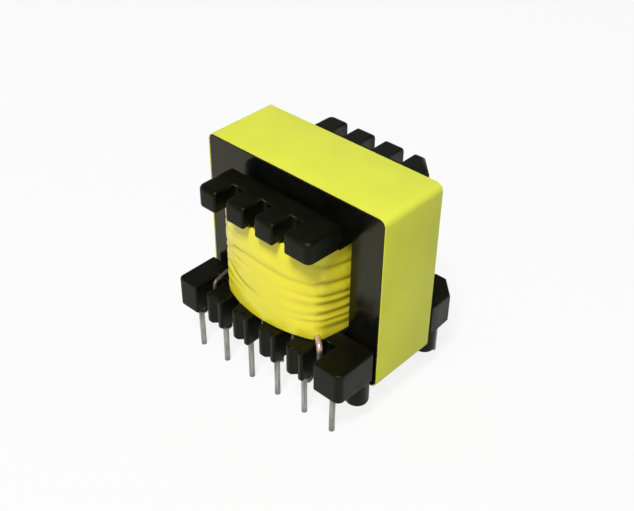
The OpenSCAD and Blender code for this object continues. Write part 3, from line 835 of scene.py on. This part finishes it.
def tape_outline(count):
    """Columns around the outer tape: place, outward direction and the length along it, front first.

    Four wide arcs are joined by small arcs at the corners, where the columns lie closer.
    Also gives the whole length and the places of the corners along it.
    """
    bow = math.atan2(COIL_X, COIL_Y - BOW_Y)
    side = math.pi / 2 - math.atan2(COIL_Y, COIL_X - SIDE_X)
    arcs = [((0.0, -BOW_Y), BOW_R, -bow, bow),
            ((COIL_X, -COIL_Y), COIL_CORNER, bow, side),
            ((SIDE_X, 0.0), SIDE_R, side, math.pi - side),
            ((COIL_X, COIL_Y), COIL_CORNER, math.pi - side, math.pi - bow)]
    places, angles = [], []
    for half in (1.0, -1.0):
        for hub, radius, first, last in arcs:
            turn = np.linspace(first, last, ARC_POINTS, endpoint=False)
            spoke = np.stack([np.sin(turn), -np.cos(turn)], 1)
            places.append(half * (np.array(hub) + (radius + TAPE_OUT) * spoke))
            angles.append(turn + (0.0 if half > 0 else math.pi))
    place, angle = np.concatenate(places), np.concatenate(angles)
    run = np.concatenate([[0.0], np.cumsum(np.linalg.norm(np.diff(place, axis=0), axis=1))])
    whole = run[-1] + np.linalg.norm(place[0] - place[-1])
    corners = [run[i * ARC_POINTS + ARC_POINTS // 2] for i in (1, 3, 5, 7)]
    near = np.min([np.abs(off_corner(run, c, whole)) for c in corners], axis=0)
    weight = 1.0 + CORNER_EXTRA * np.exp(-(near / CORNER_REACH) ** 2)
    dense_run = np.concatenate([[0.0], np.cumsum(np.diff(run) * (weight[1:] + weight[:-1]) / 2)])
    pick = np.interp(np.arange(count) / count * dense_run[-1], dense_run, np.arange(len(run)))
    values = [np.interp(pick, np.arange(len(run)), v) for v in (place[:, 0], place[:, 1], angle, run)]
    return np.stack(values[:2], 1), values[2], values[3], whole, corners


def hidden_folds(seed):
    """Folds of a corner out of sight, about as dense and deep as those at the right front corner."""
    random = np.random.default_rng(seed)
    folds = []
    for level in np.linspace(1.4, 12.0, 7):
        level += random.uniform(-0.45, 0.45)
        reach = random.uniform(2.0, 7.0)
        deep = random.uniform(0.16, 0.28)
        drift = random.uniform(-0.3, 0.5)
        folds.append((random.uniform(0.28, 0.45), [
            (-reach, level + drift, 0), (-0.5 * reach, level + 0.5 * drift, 0.25 * deep),
            (-0.4, level, 0.5 * deep), (0.5, level, deep), (4.5, level - 0.8, 0.9 * deep),
            (8.5, level - 1.2, 0)]))
    return folds


def fold_depths(run, whole, corners, height, seed):
    """How deep the folds are at each column and height."""
    deep = np.zeros((height.shape[0], run.shape[0]))
    sides = [(FOLDS, 1.0), (hidden_folds(seed), -1.0), (hidden_folds(seed + 1), 1.0),
             (hidden_folds(seed + 2), -1.0)]
    for (folds, hand), corner in zip(sides, corners):
        along = off_corner(run, corner, whole) * hand
        for wide, places in folds:
            at, level, depth = np.array(places).T
            line = COIL_LOW + np.interp(along, at, level) + FOLD_SWAY * np.sin(along * 1.7 + level[0])
            share = np.interp(along, at, depth, left=0.0, right=0.0)
            t = np.abs(height - line[None, :]) / wide
            deep = np.maximum(deep, share[None, :] * np.exp(-t**1.5))
    return deep


def tape_foot(place, angle):
    """Lower edge of the outer tape: it wanders a little and rides up over the corner leads."""
    lift = FOOT_SWAY * (1 + np.sin(3 * angle + 0.35))
    for pin, slot, wire, _, loop in LEADS:
        if abs(slot) == 2:
            at = corner_place(slot, loop, TAPE_OUT)
            at = np.array([math.copysign(at.x, slot), at.y if pin <= 6 else -at.y])
            off = np.linalg.norm(place - at, axis=1)
            arch = np.sqrt(np.maximum((wire / 2 + WIRE_GAP / 2) ** 2 - off**2, 0.0))
            lift = np.maximum(lift, np.where(arch > 0, WIRE_GAP + wire / 2 + arch, 0.0))
    return COIL_LOW + lift


def coil_tape_mesh(look, name):
    """Closed mesh of the folded tape, with how deep each point lies in the folds, which sets the shade
    painted into them.
    """
    n, rows = look.columns, look.rows
    place, angle, run, whole, corners = tape_outline(n)
    outward = np.stack([np.sin(angle), -np.cos(angle)], 1)
    share = np.linspace(0.0, 1.0, rows + 1)[:, None]
    foot = tape_foot(place, angle)[None, :]
    height = foot + (COIL_TOP - foot) * share
    deep = fold_depths(run, whole, corners, height, look.seed)
    ripple = np.sin(run[None, :] * 2 * math.pi * RIPPLES / whole + height * 0.9)
    ripple *= np.sin(height * 1.7 + 1.0)
    rim = np.abs(2 * share - 1) ** 6
    inset = deep * (1 - 0.5 * rim) + RIM_INSET * rim + FACE_INSET + SLACK * ripple
    points = np.empty((rows + 1, n, 3))
    points[..., :2] = place[None] - outward[None] * inset[..., None]
    points[..., 2] = height
    lining = np.empty((2, n, 3))
    lining[..., :2] = place[None] - outward[None] * (TAPE_OUT - AUX_OUT - TAPE_GAP)
    lining[0, :, 2] = height[0]
    lining[1, :, 2] = height[-1]
    everything = np.concatenate([points.reshape(-1, 3), lining.reshape(-1, 3)]) * MM
    ring = np.arange(n)
    after = (ring + 1) % n
    up = (np.arange(rows) * n)[:, None]
    top, base = rows * n, (rows + 1) * n
    quads = [
        np.stack([up + ring, up + after, up + n + after, up + n + ring], -1).reshape(-1, 4),
        np.stack([top + ring, top + after, base + n + after, base + n + ring], -1),
        np.stack([after, ring, base + ring, base + after], -1),
        np.stack([base + after, base + ring, base + n + ring, base + n + after], -1)]
    mesh = bpy.data.meshes.new(name)
    mesh.from_pydata(everything.tolist(), [], np.concatenate(quads).tolist())
    mesh.update()
    mesh.polygons.foreach_set("use_smooth", np.ones(len(mesh.polygons), dtype=bool))
    # How deep each point lies in the folds, kept for the shade painted into them.
    fold = mesh.attributes.new("fold", "FLOAT", "POINT")
    depth = np.concatenate([np.clip(deep / FULL_FOLD_SHADE, 0, 1).reshape(-1), np.zeros(2 * n)])
    fold.data.foreach_set("value", depth.astype(np.float32))
    return mesh


# Stage


def lay_floor(look, level):
    """A wide pale floor under the pin tips."""
    mesh = bpy.data.meshes.new("floor")
    work = bmesh.new()
    bmesh.ops.create_grid(
        work, x_segments=2, y_segments=2, size=FLOOR_HALF, matrix=Matrix.Translation((0, 0, level)))
    work.to_mesh(mesh)
    work.free()
    material, tree, shader, place, _ = new_material("Pale floor")
    end = shader.outputs[0].links[0].to_node
    ray = put(tree, "ShaderNodeLightPath").outputs
    seen = calc(tree, "MAXIMUM", ray["Is Camera Ray"], ray["Is Glossy Ray"])
    seen = calc(tree, "MAXIMUM", seen, ray["Is Transmission Ray"])
    pale = blend(tree, noise(tree, place, 6.0, 2.0), look.floor, scaled(look.floor, 0.99))
    fill(tree, shader, {
        "Base Color": blend(tree, seen, scaled(look.floor, look.bounce), pale),
        "Roughness": 0.9, "Specular IOR Level": 0.0})
    white = put(tree, "ShaderNodeEmission", {"Color": WHITE})
    both = put(tree, "ShaderNodeMixShader", {
        0: calc(tree, "MULTIPLY", seen, look.glow), 1: shader.outputs[0], 2: white.outputs[0]})
    tree.links.new(both.outputs[0], end.inputs["Surface"])
    show("floor", mesh, material)


def light_surroundings(scene, look):
    """Surroundings that are white near the horizon and darker overhead."""
    world = bpy.data.worlds.new("Surroundings")
    scene.world = world
    world.use_nodes = True
    tree = world.node_tree
    tree.nodes.clear()
    way = put(tree, "ShaderNodeTexCoord").outputs["Generated"]
    level = spread(tree, height_of(tree, way), 1.0, look.sky, SKY_LOW, SKY_HIGH)
    sky = put(tree, "ShaderNodeBackground", {"Color": WHITE, "Strength": level})
    put(tree, "ShaderNodeOutputWorld", {"Surface": sky.outputs[0]})


def hang_lamp(name, place, size, power):
    """A square soft lamp aimed at the middle of the part."""
    data = bpy.data.lights.new(name, "AREA")
    data.size = size
    data.energy = power
    lamp = on_scene(name, data)
    lamp.location = place
    lamp.rotation_mode = "QUATERNION"
    lamp.rotation_quaternion = (LAMP_AIM - lamp.location).to_track_quat("-Z", "Y")


def aim_camera(scene, look):
    """The photograph's view: turned, raised and rolled around the foot of the core."""
    a, e, r = look.azimuth, look.elevation, look.roll
    back = Vector((math.sin(a) * math.cos(e), -math.cos(a) * math.cos(e), math.sin(e)))
    level = Vector((math.cos(a), math.sin(a), 0.0))
    upright = back.cross(level)
    right = level * math.cos(r) + upright * math.sin(r)
    up = upright * math.cos(r) - level * math.sin(r)
    foot = Vector((0.0, 0.0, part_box("core_tape")[0].z))
    data = bpy.data.cameras.new("Camera")
    data.lens = look.lens
    data.sensor_width = SENSOR_MM
    data.clip_start, data.clip_end = NEAR, FAR
    camera = on_scene("Camera", data)
    turn = Matrix((right, up, back)).transposed().to_4x4()
    place = foot + right * look.offset[0] + up * look.offset[1] + back * look.offset[2]
    camera.matrix_world = Matrix.Translation(place) @ turn
    scene.camera = camera


# Operators


class TRANSFORMER_OT_stage(bpy.types.Operator):
    """Lay the floor, set the lamps and the surroundings and aim the camera"""

    bl_idname = "transformer.stage"
    bl_label = "Stage"

    def execute(self, context):
        scene = context.scene
        look = scene.transformer.stage
        scene.view_settings.view_transform = "Standard"
        lay_floor(look, CAD_BOX[0].z)
        light_surroundings(scene, look)
        hang_lamp("Key lamp", KEY_PLACE, KEY_SIZE, look.key)
        hang_lamp("Top lamp", TOP_PLACE, TOP_SIZE, look.top)
        aim_camera(scene, look)
        return {"FINISHED"}


class TRANSFORMER_OT_core(bpy.types.Operator):
    """Round the ferrite halves' edges and give them their ground finish"""

    bl_idname = "transformer.core"
    bl_label = "Ferrite halves"

    def execute(self, context):
        look = context.scene.transformer.core
        material = ferrite_material(look)
        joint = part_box("core_lower")[1].z
        for node in ("core_upper", "core_lower"):
            mesh = rounded_copy(node, f"{node}_ground", look.ferrite_edge, joint)
            settle(show(mesh.name, mesh, material), "ferrite", node)
        return {"FINISHED"}


class TRANSFORMER_OT_core_tape(bpy.types.Operator):
    """Wrap the tape around the core"""

    bl_idname = "transformer.core_tape"
    bl_label = "Core tape"

    def execute(self, context):
        look = context.scene.transformer.core
        low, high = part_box("core_tape")
        inner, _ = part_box("core_lower")
        thick = inner.x - low.x
        material = core_tape_material(look)
        mesh = run_tree(wrapped_tape_tree(), "core_wrap", bpy.data.meshes.new("core_wrap"), {
            "Width": high.x - low.x - thick, "Height": high.z - low.z - thick,
            "Corner": CORE_CORNER * MM + thick / 2, "Tape width": high.y - low.y, "Thickness": thick,
            "Middle": (low + high) / 2, "Waver": look.tape_waver, "Material": material})
        settle(show("core_wrap", mesh, material), "core_tape", "core_tape")
        return {"FINISHED"}


class TRANSFORMER_OT_bobbin(bpy.types.Operator):
    """Round the bobbin's moulded edges and give it its plastic"""

    bl_idname = "transformer.bobbin"
    bl_label = "Bobbin"

    def execute(self, context):
        look = context.scene.transformer.bobbin
        mesh = rounded_copy("bobbin", "bobbin_moulding", look.edge, kept=KEPT_PLACES)
        settle(show(mesh.name, mesh, plastic_material(look)), "bobbin_plastic", "bobbin")
        return {"FINISHED"}


class TRANSFORMER_OT_coils(bpy.types.Operator):
    """Finish the coils and the tapes between them"""

    bl_idname = "transformer.coils"
    bl_label = "Coils"

    def execute(self, context):
        look = context.scene.transformer.coil
        wire, tape = coil_wire_material(look), layer_tape_material(look)
        finish = {"primary_winding": wire, "secondary_winding": wire, "auxiliary_winding": wire,
                  "primary_tape": tape, "secondary_tape": tape}
        for node, material in finish.items():
            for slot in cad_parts[node].material_slots:
                slot.material = material
        return {"FINISHED"}


class TRANSFORMER_OT_coil_tape(bpy.types.Operator):
    """Fold the outer tape around the coils"""

    bl_idname = "transformer.coil_tape"
    bl_label = "Coil tape"

    def execute(self, context):
        look = context.scene.transformer.coil
        mesh = coil_tape_mesh(look, "coil_wrap")
        settle(show(mesh.name, mesh, coil_tape_material(look)), "winding_tape", "winding_tape")
        return {"FINISHED"}


class TRANSFORMER_OT_pins(bpy.types.Operator):
    """Set both rows of pins"""

    bl_idname = "transformer.pins"
    bl_label = "Pins"

    def execute(self, context):
        look = context.scene.transformer.wire
        tree, material = pin_row_tree(), pin_material(look)
        rows = (("front_pins", "pin_01", range(1, 7), 3), ("back_pins", "pin_12", range(7, 13), 8))
        for name, first, pins, seed in rows:
            low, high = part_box(first)
            mesh = run_tree(tree, name, bpy.data.meshes.new(name), {
                "Count": len(pins), "First": ((low.x + high.x) / 2, (low.y + high.y) / 2, 0.0),
                "Pitch": PIN_PITCH * MM, "Top": high.z, "Tip": low.z, "Radius": PIN_R * MM,
                "Lean": look.lean, "Sides": look.sides, "Seed": seed, "Material": material})
            settle(show(name, mesh, material), "pin_metal", *[f"pin_{i:02d}" for i in pins])
        return {"FINISHED"}


class TRANSFORMER_OT_leads(bpy.types.Operator):
    """Lead each wire out of the coils, down its slot and around its pin"""

    bl_idname = "transformer.leads"
    bl_label = "Leads"

    def execute(self, context):
        look = context.scene.transformer.wire
        tree = swept_wire_tree()
        heavy = lead_material(look, "Heavy lead", (COIL_LOW + BARE_BAND) * MM)
        light = lead_material(look, "Light lead", COIL_TOP * MM)
        for pin, slot, wire, turns, loop in LEADS:
            name = f"lead_{pin:02d}_wire"
            material = light if loop else heavy
            route = lead_route(pin, slot, wire, turns, loop)
            curve = bpy.data.curves.new(name, "CURVE")
            curve.dimensions = "3D"
            line = curve.splines.new("POLY")
            line.points.add(len(route) - 1)
            for point, place in zip(line.points, route):
                point.co = (*place, 1.0)
            mesh = run_tree(tree, name, curve, {
                "Radius": wire / 2 * MM, "Sides": look.sides, "Material": material})
            settle(show(name, mesh, material), "lead_wire", f"lead_{pin:02d}")
        return {"FINISHED"}


class TRANSFORMER_PT_looks(bpy.types.Panel):
    """Lists the transformer's pieces and their settings"""

    bl_idname = "TRANSFORMER_PT_looks"
    bl_label = "Transformer"
    bl_space_type = "VIEW_3D"
    bl_region_type = "UI"
    bl_category = "Transformer"

    def draw(self, context):
        for group, operators in ORDER.items():
            box = self.layout.box()
            for name in operators:
                box.operator(f"transformer.{name}")
            settings = getattr(context.scene.transformer, group)
            for name in settings.__annotations__:
                box.prop(settings, name)


# Settings in the order of making, each with the operators that read them
ORDER = {
    "stage": ["stage"], "core": ["core", "core_tape"], "bobbin": ["bobbin"], "coil": ["coils", "coil_tape"],
    "wire": ["pins", "leads"],
}
CLASSES = [
    CoreLook, BobbinLook, CoilLook, WireLook, StageLook, TransformerLook,
    TRANSFORMER_OT_stage, TRANSFORMER_OT_core, TRANSFORMER_OT_core_tape, TRANSFORMER_OT_bobbin,
    TRANSFORMER_OT_coils, TRANSFORMER_OT_coil_tape, TRANSFORMER_OT_pins, TRANSFORMER_OT_leads,
    TRANSFORMER_PT_looks,
]


def register():
    for made in CLASSES:
        bpy.utils.register_class(made)
    bpy.types.Scene.transformer = PointerProperty(type=TransformerLook)


def unregister():
    del bpy.types.Scene.transformer
    for made in reversed(CLASSES):
        bpy.utils.unregister_class(made)


def main():
    """Makes every piece in order."""
    register()
    for operators in ORDER.values():
        for name in operators:
            getattr(bpy.ops.transformer, name)()


if __name__ == "__main__":
    main()
